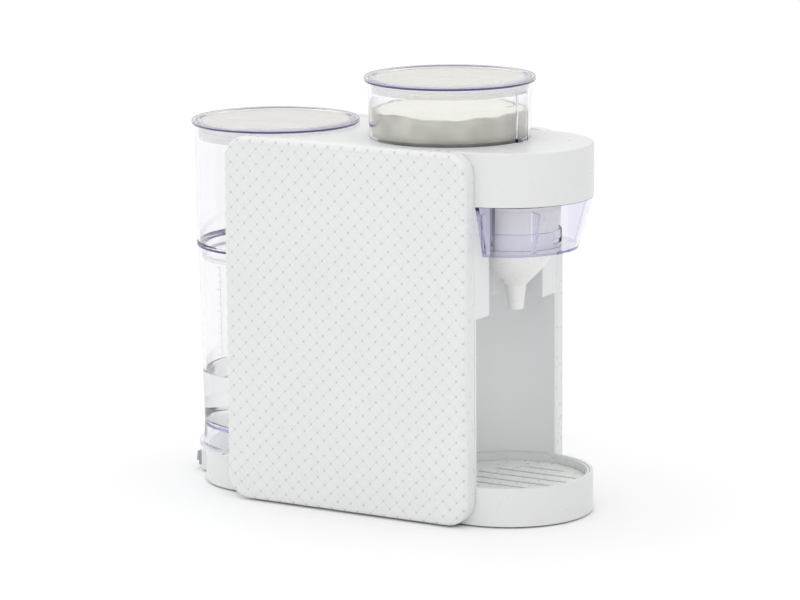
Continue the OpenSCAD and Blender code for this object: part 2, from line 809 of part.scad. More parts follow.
module powder_lid() {
    color("lavender", 0.5) difference() {
        plug_lid(powder_lid_r, lid_rim_z, overall_h, mouth_in_r - 1, overall_h - 11.6, container_y);
        ring(mouth_in_r, mouth_in_r - 1.7, overall_h - 9, overall_h - 6.5, container_y);
    }
}

module powder_lid_seal() {
    color("gainsboro") ring(mouth_in_r - 0.55, mouth_in_r - 1.6, overall_h - 8.9, overall_h - 6.6, container_y);
}

// ---------------------------------------------------------------- water tank

tank_lid_z = body_h + 0.4;
tank_lid_top = tank_lid_z + 3.4;
sleeve_in_r = sleeve_r - clear_t;
sleeve_top = tank_lid_z - 0.2;
flange_h = 3.9;
vessel_in_r = vessel_r - clear_t;
vessel_low_r = vessel_r - vessel_taper;
tank_foot_z = base_top + 0.4;
tank_flange_r = sleeve_r + 0.3;
socket_r = 16;
valve_r = 8;

module tank_lid() {
    color("lavender", 0.5) difference() {
        plug_lid(tank_lid_r, tank_lid_z, tank_lid_top, sleeve_in_r - 0.8, tank_lid_z - 11.3, tank_y);
        ring(sleeve_in_r, sleeve_in_r - 1.6, tank_lid_z - 7.5, tank_lid_z - 5, tank_y);
    }
}

module tank_lid_seal() {
    color("gainsboro") ring(sleeve_in_r - 0.4, sleeve_in_r - 1.5, tank_lid_z - 7.4, tank_lid_z - 5.1, tank_y);
}

module tank_sleeve() {
    color("azure", 0.4)
        translate([0, tank_y, 0]) rotate_extrude()
            polygon([[vessel_in_r - 0.8 - clear_t, joint_z - 9.6], [vessel_in_r - 0.8, joint_z - 9.6],
                     [vessel_in_r - 0.8, joint_z], [sleeve_r - 0.5, joint_z], [sleeve_r + 0.2, joint_z + 0.7],
                     [sleeve_r + 0.2, joint_z + flange_h - 0.7], [sleeve_r - 0.5, joint_z + flange_h],
                     [sleeve_r, joint_z + flange_h + 0.3],
                     [sleeve_r, sleeve_top], [sleeve_in_r, sleeve_top], [sleeve_in_r, joint_z + flange_h],
                     [vessel_in_r - 0.8 - clear_t, joint_z + 2]]);
}

module tank_joint_seal() {
    color("gainsboro") ring(vessel_in_r - 0.45, vessel_in_r - 0.78, joint_z - 8, joint_z - 5.5, tank_y);
}

module tank_vessel() {
    color("azure", 0.4)
        difference() {
            translate([0, tank_y, 0]) rotate_extrude()
                polygon([[0, tank_floor_z - clear_t], [vessel_low_r - clear_t, tank_floor_z - clear_t],
                         [vessel_low_r - clear_t, tank_foot_z], [tank_flange_r, tank_foot_z],
                         [tank_flange_r, tank_foot_z + 3.2], [vessel_low_r + 0.6, tank_foot_z + 3.4],
                         [vessel_low_r, tank_floor_z], [vessel_r, joint_z - 0.3],
                         [vessel_in_r, joint_z - 0.3], [vessel_low_r - clear_t, tank_floor_z + 2.4],
                         [vessel_low_r - clear_t - 2.4, tank_floor_z], [0, tank_floor_z]]);
            disc(valve_r + 0.1, 0, far, tank_y);
        }
}

valve_cup_r = 6.4;                        // chamber that the spring and the poppet work in
stem_r = 2.2;

module valve_body() {
    color("white") difference() {
        union() {
            disc(valve_r, base_top - 0.9, tank_floor_z + 0.1, tank_y);
            disc(valve_r + 4, tank_floor_z + 0.1, tank_floor_z + 2, tank_y);
            disc(valve_r + 3, tank_floor_z - clear_t - 3, tank_floor_z - clear_t - 0.1, tank_y);
        }
        disc(stem_r + 1, 0, far, tank_y);
        disc(valve_cup_r, tank_floor_z - 9, tank_floor_z + 1, tank_y);
        // groove of the seal
        ring(valve_r + 1, valve_r - 0.8, base_top + 0.6, base_top + 2.8, tank_y);
    }
}

module valve_poppet() {
    color("silver") {
        disc(stem_r, base_top + 3.2, tank_floor_z + 4.5, tank_y);
        disc(4.6, tank_floor_z - 8, tank_floor_z - 6, tank_y);
    }
}

module valve_spring() {
    color("silver") for (i = [0:4])
        ring(4.4, 3.5, tank_floor_z - 5.8 + i * 1.4, tank_floor_z - 5.1 + i * 1.4, tank_y);
}

module valve_seal() {
    color("dimgray") ring(valve_r + 1.2, valve_r - 0.7, base_top + 0.7, base_top + 2.7, tank_y);
}

module tank_socket() {
    color("white") {
        difference() {
            union() {
                disc(socket_r, base_cavity_top - 6, base_top + 2.8, tank_y);
                disc(valve_r, tube_z - 5, base_cavity_top - 5, tank_y);
            }
            disc(valve_r + 1.6, base_top - 1.4, far, tank_y);
            disc(5, tube_z - 2, far, tank_y);
        }
        // pin that lifts the valve's poppet
        disc(1.6, tube_z - 2.5, base_top + 2.9, tank_y);
    }
}

// ---------------------------------------------------------------- water path

tube_r = 4;
tube_z = base_cavity_top - 11;
hot_tube_r = 2.3;
pump_x = -28;
pump_y = works_y - 5.05;
heater_x = nozzle_x;
heater_y = min(works_y + 14.95, tank_y - tank_pocket_r - wall - 25.5);

module pump_body() {
    z = base_top + 8;
    translate([pump_x, pump_y, z]) {
        translate([-18, -16, 0]) cube([36, 32, 34]);
        translate([0, 0, 34]) cylinder(h = 28, r = 14);
        translate([0, 0, -8]) cylinder(h = 8, r = 10);
    }
}

module water_pump() {
    color("dimgray") difference() {
        pump_body();
        disc(tube_r + gap, 0, base_top + 8, pump_y, pump_x);
        block([pump_x + 10, pump_y - 6, base_top + 60], [pump_x + 20, pump_y + 6, base_top + 80]);
    }
}

module inline_heater() {
    z0 = base_top + 18;
    color("silver") translate([heater_x, heater_y, 0]) {
        difference() {
            disc(16, z0, z0 + 96);
            disc(3, z0 - 1, z0 + 97);
            for (a = [0:30:330]) rotate([0, 0, a]) block([13, -1, z0 + 4], [20, 1, z0 + 92]);
        }
    }
    // bracket that stands on the base
    color("silver") {
        block([heater_x - 12, heater_y + 16.5, base_top + 0.1], [heater_x + 12, heater_y + 18, z0 + 30]);
        block([heater_x - 12, heater_y + 2, base_top + 0.1], [heater_x + 12, heater_y + 18, base_top + 1.6]);
        block([heater_x - 5, heater_y + 12, z0 + 8], [heater_x + 5, heater_y + 17.5, z0 + 24]);
    }
}

// A quarter bend in the YZ plane, from the direction a to a + 90 degrees
module tube_bend(bend, r, a) {
    rotate([90, 0, 90]) rotate([0, 0, a]) rotate_extrude(angle = 90) translate([bend, 0]) circle(r = r);
}

module tank_to_pump_tube() {
    bend = 10;
    aim = atan2(pump_x, tank_y - pump_y);
    run = norm([pump_x, tank_y - pump_y]);
    color("gainsboro") translate([pump_x, pump_y, 0]) rotate([0, 0, aim]) {
        translate([0, bend, tube_z]) rotate([-90, 0, 0]) cylinder(h = run - bend - valve_r - gap, r = tube_r);
        translate([0, bend, tube_z + bend]) tube_bend(bend, tube_r, 180);
        translate([0, 0, tube_z + bend]) cylinder(h = base_top + 7 - tube_z - bend, r = tube_r);
    }
}

module pump_to_heater_tube() {
    z = base_top + 18;
    color("gainsboro") {
        // out of the pump's side, across and under the heater
        translate([pump_x + 18.2, heater_y - 14, z - 6]) rotate([0, 90, 0])
            cylinder(h = heater_x - pump_x - 18.2 + 2, r = 3);
        translate([heater_x, heater_y - 14, z - 6]) rotate([-90, 0, 0]) cylinder(h = 14, r = 3);
        translate([heater_x, heater_y, z - 9]) cylinder(h = 8.8, r = 3);
    }
}

module heater_to_nozzle_tube() {
    bend = 12;
    z0 = base_top + 18 + 96.2;
    y1 = recess_rear + 8.2;
    color("gainsboro") {
        translate([heater_x, heater_y, z0]) cylinder(h = nozzle_z - bend - z0, r = hot_tube_r);
        translate([heater_x, heater_y - bend, nozzle_z - bend]) tube_bend(bend, hot_tube_r, 0);
        translate([heater_x, heater_y - bend, nozzle_z]) rotate([90, 0, 0])
            cylinder(h = heater_y - bend - y1, r = hot_tube_r);
    }
}

// ---------------------------------------------------------------- electronics and controls

// Power and motor board, upright beside the left pod
module main_pcb() {
    x = -nose_r + 11;
    color("seagreen") translate([0, works_y + 6.95, 0]) {
        block([x, -60, 110], [x + 1.6, 40, 225]);
        for (z = [125:30:185]) block([x + 1.5, 10, z], [x + 8, 30, z + 14]);
        block([x + 1.5, -30, 120], [x + 12, -6, 146]);
        for (y = [-40:14:2]) translate([x + 1.5, y, 185]) rotate([0, 90, 0]) cylinder(h = 12, r = 5);
    }
}

bezel_x1 = body_w / 2 - 0.5;              // the bezel's face lies just inside the pod's face
bezel_t = 2.4;
button_face = body_w / 2 - 0.2;
button_x0 = bezel_x1 - bezel_t - 0.3;     // front of the flange that keeps a button in

// [node's y and z from the bezel's middle, radius]
start_spot = [0, -42, 12];
up_spot = [-16, 2, 8];
down_spot = [16, 2, 8];
temperature_spot = [-16, -18, 6.5];
wash_spot = [16, -18, 6.5];
spots = [start_spot, up_spot, down_spot, temperature_spot, wash_spot];
window_h = 34;                            // display window
window_l = 50;
window_z = 36;

module spot_cylinder(spot, x0, x1, grow) {
    translate([x0, bezel_y + spot[0], bezel_z + spot[1]]) rotate([0, 90, 0])
        cylinder(h = x1 - x0, r = spot[2] + grow);
}

module window_block(x0, x1, grow) {
    translate([x0, 0, 0]) rotate([90, 0, 90]) linear_extrude(height = x1 - x0)
        rounded_rect(bezel_y - window_l / 2 - grow, bezel_z + window_z - window_h / 2 - grow,
                     bezel_y + window_l / 2 + grow, bezel_z + window_z + window_h / 2 + grow, 3 + grow);
}

module control_bezel() {
    color("silver") difference() {
        union() {
            bezel_window(0, body_w / 2 - trim_t + 0.05, bezel_x1);
            bezel_window(-3 - gap, bezel_x1 - bezel_t, body_w / 2 - trim_t + 0.1);
        }
        for (s = spots) spot_cylinder(s, 0, far, 0.35);
        window_block(0, far, gap);
    }
}

module display_window() {
    color("black") window_block(bezel_x1 - bezel_t, bezel_x1 - 0.1, 0);
}

module button(spot) {
    spot_cylinder(spot, button_x0 - 0.5, button_face, 0);
    spot_cylinder(spot, button_x0 - 1.1, button_x0, 1.2);
}

module start_button() { color("white") button(start_spot); }
module volume_up_button() { color("white") button(up_spot); }
module volume_down_button() { color("white") button(down_spot); }
module temperature_button() { color("white") button(temperature_spot); }
module wash_button() { color("white") button(wash_spot); }

module control_pcb() {
    x0 = pod_in + 2.4 + gap;
    color("seagreen") {
        translate([x0, bezel_y - bezel_l / 2 + 5, bezel_z - bezel_h / 2 + 5]) cube([1.6, bezel_l - 10, bezel_h - 10]);
        for (s = spots) spot_cylinder([s[0], s[1], 2], x0 + 1.5, button_x0 - 1.2 - button_travel - 0.1, 0);
    }
}

module power_switch_frame() {
    color("dimgray") difference() {
        block([switch_x - 8, power_y1 - 8, switch_z - 6], [switch_x + 8, rear_y - 4, switch_z + 6]);
        block([switch_x - 6, power_y1 - 6, switch_z - 4.6], [switch_x + 6, far, switch_z + 4.6]);
        // bearings of the rocker's pins
        translate([switch_x, rocker_y, switch_z]) rotate([0, 90, 0])
            cylinder(h = 2 * rocker_pin_l + 0.4, r = rocker_pin_r + run_gap, center = true);
    }
}

rocker_y = power_y1 - 1;                  // the rocker's pivot
rocker_pin_r = 1.5;
rocker_pin_l = 7;                         // from the middle of the rocker to the end of a pin
rocker_tilt = 8;

rocker_half_h = 3.9;

module power_switch_rocker() {
    // length that brings the tilted rocker's outer edge to the rear of the machine
    l = (rear_y - rocker_y - rocker_half_h * sin(rocker_tilt)) / cos(rocker_tilt);
    color("silver") translate([switch_x, rocker_y, switch_z]) rotate([0, 90, 0])
        cylinder(h = 2 * rocker_pin_l, r = rocker_pin_r, center = true);
    color("silver") translate([0, rocker_y, switch_z]) rotate([rocker_tilt, 0, 0])
        difference() {
            block([switch_x - 5.6, -2, -rocker_half_h], [switch_x + 5.6, l, rocker_half_h]);
            for (z = [-2.4:1.6:2.4]) block([switch_x - 9, l - 0.6, z - 0.3], [switch_x + 9, far, z + 0.3]);
        }
}

module mains_inlet() {
    color("dimgray") difference() {
        block([inlet_x - 10, power_y1 - 12, switch_z - 6], [inlet_x + 10, power_y1 + 0.6, switch_z + 6]);
        for (x = [-4, 4]) translate([inlet_x + x, power_y1 - 9, switch_z]) rotate([-90, 0, 0])
            cylinder(h = 20, r = 3.6);
        block([inlet_x - 4, power_y1 - 9, switch_z - 2.4], [inlet_x + 4, power_y1 + 10, switch_z + 2.4]);
    }
    color("silver") for (x = [-4, 4]) translate([inlet_x + x, power_y1 - 10, switch_z]) rotate([-90, 0, 0])
        cylinder(h = 8, r = 1.2);
}

base_tub();
base_plate();
rubber_feet();
base_screws();
front_fascia();
rear_fascia();
top_cover();
head_floor();
head_screws();
left_side_shell();
left_trim_panel();
right_side_shell();
pod_liners();
right_trim_panel();
drip_tray();
drip_grille();
funnel_cover();
funnel_collar();
funnel();
funnel_seal();
water_nozzle();
powder_chute();
powder_lid();
powder_lid_seal();
powder_container();
dosing_base();
powder_scraper();
dosing_wheel();
powder_agitator();
drive_coupling();
motor_shaft();
gear_motor();
motor_bracket();
tank_lid();
tank_lid_seal();
tank_sleeve();
tank_joint_seal();
tank_vessel();
valve_body();
valve_poppet();
valve_spring();
valve_seal();
tank_socket();
water_pump();
inline_heater();
tank_to_pump_tube();
pump_to_heater_tube();
heater_to_nozzle_tube();
main_pcb();
control_pcb();
control_bezel();
display_window();
start_button();
volume_up_button();
volume_down_button();
temperature_button();
wash_button();
power_switch_frame();
power_switch_rocker();
mains_inlet();
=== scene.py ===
"""Looks of the formula dispenser: materials, contents, printed marks, light and camera."""
import math

import bpy
from mathutils import Matrix, Vector, noise


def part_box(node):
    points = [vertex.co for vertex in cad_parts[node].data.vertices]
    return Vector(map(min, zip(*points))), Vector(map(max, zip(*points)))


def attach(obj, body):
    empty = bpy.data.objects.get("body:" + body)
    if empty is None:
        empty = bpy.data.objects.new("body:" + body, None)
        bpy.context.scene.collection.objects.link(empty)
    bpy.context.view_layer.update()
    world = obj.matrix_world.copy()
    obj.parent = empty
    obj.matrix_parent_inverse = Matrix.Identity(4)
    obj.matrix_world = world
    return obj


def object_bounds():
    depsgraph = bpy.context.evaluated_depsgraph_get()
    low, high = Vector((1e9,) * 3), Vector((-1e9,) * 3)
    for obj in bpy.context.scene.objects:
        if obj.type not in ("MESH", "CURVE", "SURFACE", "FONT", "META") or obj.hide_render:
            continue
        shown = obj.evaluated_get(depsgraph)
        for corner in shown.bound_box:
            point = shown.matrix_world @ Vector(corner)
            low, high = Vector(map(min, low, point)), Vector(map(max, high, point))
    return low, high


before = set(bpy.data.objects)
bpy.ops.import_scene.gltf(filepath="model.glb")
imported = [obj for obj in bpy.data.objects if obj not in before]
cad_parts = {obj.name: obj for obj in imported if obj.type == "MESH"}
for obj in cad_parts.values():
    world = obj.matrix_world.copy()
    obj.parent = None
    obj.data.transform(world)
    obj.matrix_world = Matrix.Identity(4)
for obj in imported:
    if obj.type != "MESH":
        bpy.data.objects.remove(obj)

CAD_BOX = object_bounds()
MM = 0.001
scene = bpy.context.scene


# ------------------------------------------------------------------ places, from the frame

def middle(node):
    low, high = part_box(node)
    return (low + high) / 2


def top(node):
    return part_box(node)[1].z


def bottom(node):
    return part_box(node)[0].z


HALF_WIDTH = CAD_BOX[1].x
TANK = middle("tank_lid")           # its x and y are the tank's axis
HOPPER = middle("powder_lid")       # its x and y are the powder container's axis


# ------------------------------------------------------------------ camera

CAMERA_ANGLES = (30.72, 10.86, -0.39)     # degrees: off the -X axis towards -Y, above the floor, roll
CAMERA_DISTANCE = 2.995                   # metres from the target
CAMERA_TARGET = (0, -0.0139, 0.1601)
CAMERA_LENS = 167.6                       # mm, on a 36 mm sensor


def make_camera():
    azimuth, elevation, roll = (math.radians(a) for a in CAMERA_ANGLES)
    back = Vector((-math.cos(azimuth) * math.cos(elevation),
                   -math.sin(azimuth) * math.cos(elevation), math.sin(elevation)))
    right = (-back).cross(Vector((0, 0, 1))).normalized()
    up = back.cross(right)
    across = right * math.cos(roll) + up * math.sin(roll)
    above = up * math.cos(roll) - right * math.sin(roll)
    data = bpy.data.cameras.new("camera")
    data.sensor_width = 36.0
    data.lens = CAMERA_LENS
    data.clip_start, data.clip_end = 0.1, 50.0
    cam = bpy.data.objects.new("camera", data)
    place = Matrix((across, above, back)).transposed().to_4x4()
    place.translation = Vector(CAMERA_TARGET) + back * CAMERA_DISTANCE
    cam.matrix_world = place
    scene.collection.objects.link(cam)
    scene.camera = cam


make_camera()


# ------------------------------------------------------------------ material building

class Shader:
    """A material with a Principled shader and short ways to add nodes to it."""

    def __init__(self, name, colour=None, **values):
        self.material = bpy.data.materials.new(name)
        self.material.use_nodes = True
        self.tree = self.material.node_tree
        self.principled = self.tree.nodes["Principled BSDF"]
        self.output = self.tree.nodes["Material Output"]
        if colour is not None:
            self.principled.inputs["Base Color"].default_value = (*colour, 1.0)
            self.material.diffuse_color = (*colour, 1.0)
        for key, value in values.items():
            self.set(key.replace("_", " "), value)

    def set(self, socket, value):
        self.feed(self.principled.inputs[socket], value)

    def feed(self, socket, value):
        if isinstance(value, bpy.types.NodeSocket):
            self.tree.links.new(value, socket)
        else:
            socket.default_value = value

    def add(self, kind, out=0, props=None, **inputs):
        node = self.tree.nodes.new(kind)
        for key, value in (props or {}).items():
            setattr(node, key, value)
        for key, value in inputs.items():
            self.feed(node.inputs[key.replace("_", " ")], value)
        return node.outputs[out]

    def maths(self, operation, *values):
        node = self.tree.nodes.new("ShaderNodeMath")
        node.operation = operation
        for socket, value in zip(node.inputs, values):
            self.feed(socket, value)
        return node.outputs[0]

    def place(self):
        return self.add("ShaderNodeTexCoord", out="Object")

    def split(self):
        """The object coordinates as three sockets."""
        node = self.tree.nodes.new("ShaderNodeSeparateXYZ")
        self.feed(node.inputs[0], self.place())
        return node.outputs

    def noise(self, scale, detail=3.0, vector=None, roughness=0.5):
        return self.add("ShaderNodeTexNoise", out="Fac", Vector=vector or self.place(), Scale=scale,
                        Detail=detail, Roughness=roughness)

    def remap(self, value, low, high, to_low, to_high, smooth=False):
        node = self.tree.nodes.new("ShaderNodeMapRange")
        node.interpolation_type = "SMOOTHSTEP" if smooth else "LINEAR"
        for socket, v in zip(list(node.inputs)[:5], (value, low, high, to_low, to_high)):
            self.feed(socket, v)
        return node.outputs[0]

    def mix(self, factor, a, b):
        node = self.tree.nodes.new("ShaderNodeMix")
        node.data_type = "RGBA"
        self.feed(node.inputs[0], factor)
        for socket, colour in ((node.inputs[6], a), (node.inputs[7], b)):
            self.feed(socket, colour if isinstance(colour, bpy.types.NodeSocket) else (*colour, 1.0))
        return node.outputs[2]

    def bump(self, height, distance, strength=1.0, normal=None):
        inputs = {"Height": height, "Distance": distance, "Strength": strength}
        if normal is not None:
            inputs["Normal"] = normal
        return self.add("ShaderNodeBump", **inputs)

    def edges(self, radius):
        """The normal of a softly rounded edge."""
        return self.add("ShaderNodeBevel", props={"samples": 4}, Radius=radius)

    def radius_from(self, centre):
        """The distance from an upright axis."""
        x, y, _ = self.split()
        dx = self.maths("SUBTRACT", x, centre.x)
        dy = self.maths("SUBTRACT", y, centre.y)
        return self.maths("SQRT", self.maths("ADD", self.maths("MULTIPLY", dx, dx),
                                             self.maths("MULTIPLY", dy, dy)))


def moulded(name, colour, rough=0.32, grain=0.02, tint=0.02, coat=0.0, edge=0.0, speck=2600.0):
    """Injection-moulded plastic: a fine grain, faint flow marks and, if edge (mm) is given, soft edges."""
    s = Shader(name)
    flow = s.noise(14.0, 2.0)
    dark = tuple(c * (1.0 - tint) for c in colour)
    s.set("Base Color", s.mix(s.remap(flow, 0.3, 0.7, 0.0, 1.0), dark, colour))
    s.set("Roughness", s.remap(s.noise(160.0, 4.0), 0.3, 0.7, rough - 0.05, rough + 0.05))
    normal = s.edges(edge * MM) if edge else None
    s.set("Normal", s.bump(s.noise(speck, 1.0), 0.006 * MM, grain * 10, normal))
    s.principled.inputs["Coat Weight"].default_value = coat
    s.principled.inputs["Coat Roughness"].default_value = 0.12
    s.principled.inputs["IOR"].default_value = 1.5
    s.material.diffuse_color = (*colour, 1.0)
    return s


LATTICE_PITCH = 12.1 * MM
LATTICE_SHIFT = (3.1 * MM, 2.7 * MM)      # along y and z
LINE_INK, DOT_INK = 0.45, 0.85            # how strongly each is printed
LINE_GREY, DOT_GREY = (0.60, 0.615, 0.61), (0.53, 0.54, 0.54)
TRIM_WHITE = (0.79, 0.805, 0.795)


def lattice(s):
    """The printed lattice of the sides as two sockets, 0 to 1: thin diagonal lines, and dots where they cross."""
    _, y, z = s.split()
    wobble = s.maths("MULTIPLY", s.maths("SUBTRACT", s.noise(900.0, 1.0), 0.5), 0.35 * MM)
    y = s.maths("ADD", y, LATTICE_SHIFT[0])
    z = s.maths("ADD", z, s.maths("ADD", wobble, LATTICE_SHIFT[1]))

    def across(a):
        turns = s.maths("DIVIDE", a, LATTICE_PITCH)
        offset = s.maths("ABSOLUTE", s.maths("SUBTRACT", s.maths("FRACT", turns), 0.5))
        return s.maths("MULTIPLY", s.maths("SUBTRACT", 0.5, offset), LATTICE_PITCH * math.sqrt(0.5))

    first = across(s.maths("ADD", y, z))
    second = across(s.maths("SUBTRACT", y, z))
    nearest = s.maths("MINIMUM", first, second)
    line = s.remap(nearest, 0.14 * MM, 0.50 * MM, 1.0, 0.0, smooth=True)
    dashes = s.remap(s.noise(620.0, 2.0), 0.36, 0.60, 0.45, 1.0)
    far = s.maths("SQRT", s.maths("ADD", s.maths("MULTIPLY", first, first),
                                  s.maths("MULTIPLY", second, second)))
    dot = s.remap(far, 0.50 * MM, 1.30 * MM, 1.0, 0.0, smooth=True)
    return s.maths("MULTIPLY", line, dashes), dot


def print_lattice(s, colour, share=None):
    """Prints the lattice over a colour, all over or only where share is 1."""
    line, dot = lattice(s)
    if share is not None:
        line, dot = s.maths("MULTIPLY", line, share), s.maths("MULTIPLY", dot, share)
    colour = s.mix(s.maths("MULTIPLY", line, LINE_INK), colour, LINE_GREY)
    s.set("Base Color", s.mix(s.maths("MULTIPLY", dot, DOT_INK), colour, DOT_GREY))


def printed_trim():
    s = moulded("trim_print", TRIM_WHITE, rough=0.30, grain=0.01)
    print_lattice(s, s.principled.inputs["Base Color"].links[0].from_socket)
    return s


def printed_shell():
    """The side shells: white, with the lattice running on over the rounded outer edge."""
    s = moulded("side_shell", (0.81, 0.825, 0.82), rough=0.30, grain=0.01)
    plain = s.principled.inputs["Base Color"].links[0].from_socket
    x = s.maths("ABSOLUTE", s.split()[0])
    outer = s.remap(x, HALF_WIDTH - 3.2 * MM, HALF_WIDTH - 1.0 * MM, 0.0, 1.0, smooth=True)
    print_lattice(s, s.mix(outer, plain, TRIM_WHITE), outer)
    return s


def let_light_through(s, tint):
    """Lamps and bounced light pass, so that what stands inside is lit."""
    through = s.add("ShaderNodeBsdfTransparent", Color=(*tint, 1.0))
    path = s.tree.nodes.new("ShaderNodeLightPath")
    either = s.maths("MAXIMUM", path.outputs["Is Shadow Ray"], path.outputs["Is Diffuse Ray"])
    blend = s.tree.nodes.new("ShaderNodeMixShader")
    s.feed(blend.inputs[0], either)
    s.tree.links.new(s.principled.outputs[0], blend.inputs[1])
    s.tree.links.new(through, blend.inputs[2])
    s.tree.links.new(blend.outputs[0], s.output.inputs["Surface"])


# painted shade: the rim band's colour and opacity. The violet is the plastic's own tint; the darkness and near
# opacity stand in for the dark line seen along a clear edge
RIM_VIOLET_SHADE = (0.065, 0.048, 0.19)
DISC_MILK = (0.80, 0.775, 0.725)
DEPTH_TINT = (0.42, 0.40, 0.86)           # what thick clear plastic lets through
RIM_SHADE_COVER, DISC_COVER = 0.85, 0.62        # how opaque a rim and a lid's disc are


def clear(name, rim=None, disc_of=None, depth=10.0, tint=(0.985, 0.985, 0.99), rough=0.03, ior=1.42):
    """Clear moulded plastic that turns violet where it is thick.
    rim: (centre, radius, low z, high z) of an edge band, dark violet and nearly opaque: painted shade over the
    plastic's violet tint.
    disc_of: (centre, radius) of a lid's milky disc, which needs a rim. depth: how fast the plastic tints with
    thickness."""
    s = Shader(name, IOR=ior)
    s.principled.inputs["Transmission Weight"].default_value = 1.0
    s.principled.inputs["Roughness"].default_value = rough
    colour = s.mix(s.noise(40.0, 2.0), tint, tuple(c * 0.985 for c in tint))
    if rim:
        centre, radius, low, high = rim
        height = s.split()[2]
        inside = s.remap(s.radius_from(centre), radius - 1.6 * MM, radius - 0.7 * MM, 0.0, 1.0, smooth=True)
        above = s.remap(height, low - 0.1 * MM, low + 0.1 * MM, 0.0, 1.0)
        below = s.remap(height, high - 0.3 * MM, high + 0.3 * MM, 1.0, 0.0)
        # painted shade: a dark violet, nearly opaque band on the rim
        rim_shade_mask = s.maths("MULTIPLY", inside, s.maths("MULTIPLY", above, below))
        colour = s.mix(rim_shade_mask, colour, RIM_VIOLET_SHADE)
        opaque = s.maths("MULTIPLY", rim_shade_mask, RIM_SHADE_COVER)
        if disc_of:
            centre, radius = disc_of
            disc_part = s.remap(s.radius_from(centre), radius - 0.5 * MM, radius + 0.5 * MM, 1.0, 0.0)
            colour = s.mix(disc_part, colour, DISC_MILK)
            clouds = s.remap(s.noise(30.0, 3.0), 0.3, 0.7, DISC_COVER * 0.85, DISC_COVER)
            opaque = s.maths("MAXIMUM", opaque, s.maths("MULTIPLY", disc_part, clouds))
        s.set("Transmission Weight", s.maths("SUBTRACT", 1.0, opaque))
    s.set("Base Color", colour)
    s.set("Normal", s.bump(s.noise(55.0, 1.0), 0.05 * MM, 0.25))
    let_light_through(s, tint)
    absorb = s.tree.nodes.new("ShaderNodeVolumeAbsorption")
    absorb.inputs["Color"].default_value = (*DEPTH_TINT, 1.0)
    absorb.inputs["Density"].default_value = depth
    s.tree.links.new(absorb.outputs[0], s.output.inputs["Volume"])
    s.material.diffuse_color = (0.8, 0.8, 0.9, 0.4)
    return s


def metal(name, colour, rough, stretch=(1, 1, 30), scale=220.0):
    """Drawn or turned metal with fine streaks."""
    s = Shader(name, colour, Metallic=1.0)
    mapping = s.add("ShaderNodeMapping", Vector=s.place(), Scale=stretch)
    streak = s.noise(scale, 4.0, mapping)
    s.set("Roughness", s.remap(streak, 0.3, 0.7, rough - 0.08, rough + 0.10))
    s.set("Normal", s.bump(streak, 0.01 * MM, 0.3, s.edges(0.2 * MM)))
    return s


def silicone(name, colour, rough=0.5):
    s = moulded(name, colour, rough=rough, grain=0.015, edge=0.25)
    s.principled.inputs["Subsurface Weight"].default_value = 0.15
    s.principled.inputs["Subsurface Radius"].default_value = (2 * MM, 2 * MM, 2 * MM)
    return s


def board(name):
    """Solder mask over copper tracks."""
    s = Shader(name, Roughness=0.35)
    tracks = s.add("ShaderNodeTexVoronoi", out="Distance", Vector=s.place(), Scale=260.0,
                   props={"distance": "MANHATTAN"})
    s.set("Base Color", s.mix(s.remap(tracks, 0.25, 0.35, 0.0, 1.0), (0.02, 0.20, 0.10),
                              (0.015, 0.13, 0.07)))
    s.set("Normal", s.bump(tracks, 0.05 * MM, 0.4))
    return s


def milk_powder():
    """Creamy on top, and darker and greyer in patches on its side along the container wall, as painted shade of
    the heap's side.
    """
    s = Shader("milk_powder", Roughness=0.95)
    clumps = s.noise(420.0, 6.0, roughness=0.7)
    # painted shade: darker and greyer towards the container wall, where the heap's side is
    painted_side_shade = s.remap(s.radius_from(HOPPER), 56.0 * MM, 60.5 * MM, 0.0, 1.0, smooth=True)
    loose = s.mix(clumps, (0.84, 0.835, 0.74), (0.90, 0.90, 0.82))
    uneven_side_shade = s.remap(s.noise(22.0, 2.0), 0.40, 0.62, 0.0, 1.0, smooth=True)
    # the colours of the shaded side, uneven in patches: painted shade
    side_shade_colour = s.mix(uneven_side_shade, (0.43, 0.415, 0.36), (0.60, 0.60, 0.49))
    side_shade_colour = s.mix(s.maths("MULTIPLY", clumps, 0.3), side_shade_colour, (0.75, 0.75, 0.68))
    s.set("Base Color", s.mix(painted_side_shade, loose, side_shade_colour))
    s.set("Normal", s.bump(s.noise(1500.0, 5.0, roughness=0.8), 0.25 * MM, 0.7))
    s.principled.inputs["Sheen Weight"].default_value = 0.15
    return s


def water():
    """Clear, slightly grey-green, with a low IOR so that the tank's walls stay the brighter line."""
    s = Shader("tank_water", (0.905, 0.915, 0.905), IOR=1.12)
    s.principled.inputs["Transmission Weight"].default_value = 1.0
    s.principled.inputs["Roughness"].default_value = 0.0
    s.set("Normal", s.bump(s.noise(35.0, 1.0), 0.2 * MM, 0.15))
    let_light_through(s, (0.965, 0.975, 0.965))
    return s


def ink(name, colour, rough=0.5, glow=0.0):
    """Printed or lit marks, slightly uneven."""
    s = Shader(name, Roughness=rough)
    s.set("Base Color", s.mix(s.noise(1800.0, 2.0), colour, tuple(c * 0.85 for c in colour)))
    if glow:
        s.principled.inputs["Emission Color"].default_value = (*colour, 1.0)
        s.principled.inputs["Emission Strength"].default_value = glow
    return s


def lid_rim(node, axis, low, high):
    """The edge band of a lid, low and high in mm below its top."""
    return axis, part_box(node)[1].x, top(node) - low * MM, top(node) - high * MM


def lid_disc(node, axis):
    return axis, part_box(node)[1].x - 7.5 * MM


# the sleeve's ring carries the same dark violet band of painted shade as the lids' rims
SLEEVE_RING_FOOT = bottom("tank_sleeve") + 9.4 * MM
SLEEVE_RING = (TANK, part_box("tank_sleeve")[1].x, SLEEVE_RING_FOOT, SLEEVE_RING_FOOT + 2.2 * MM)

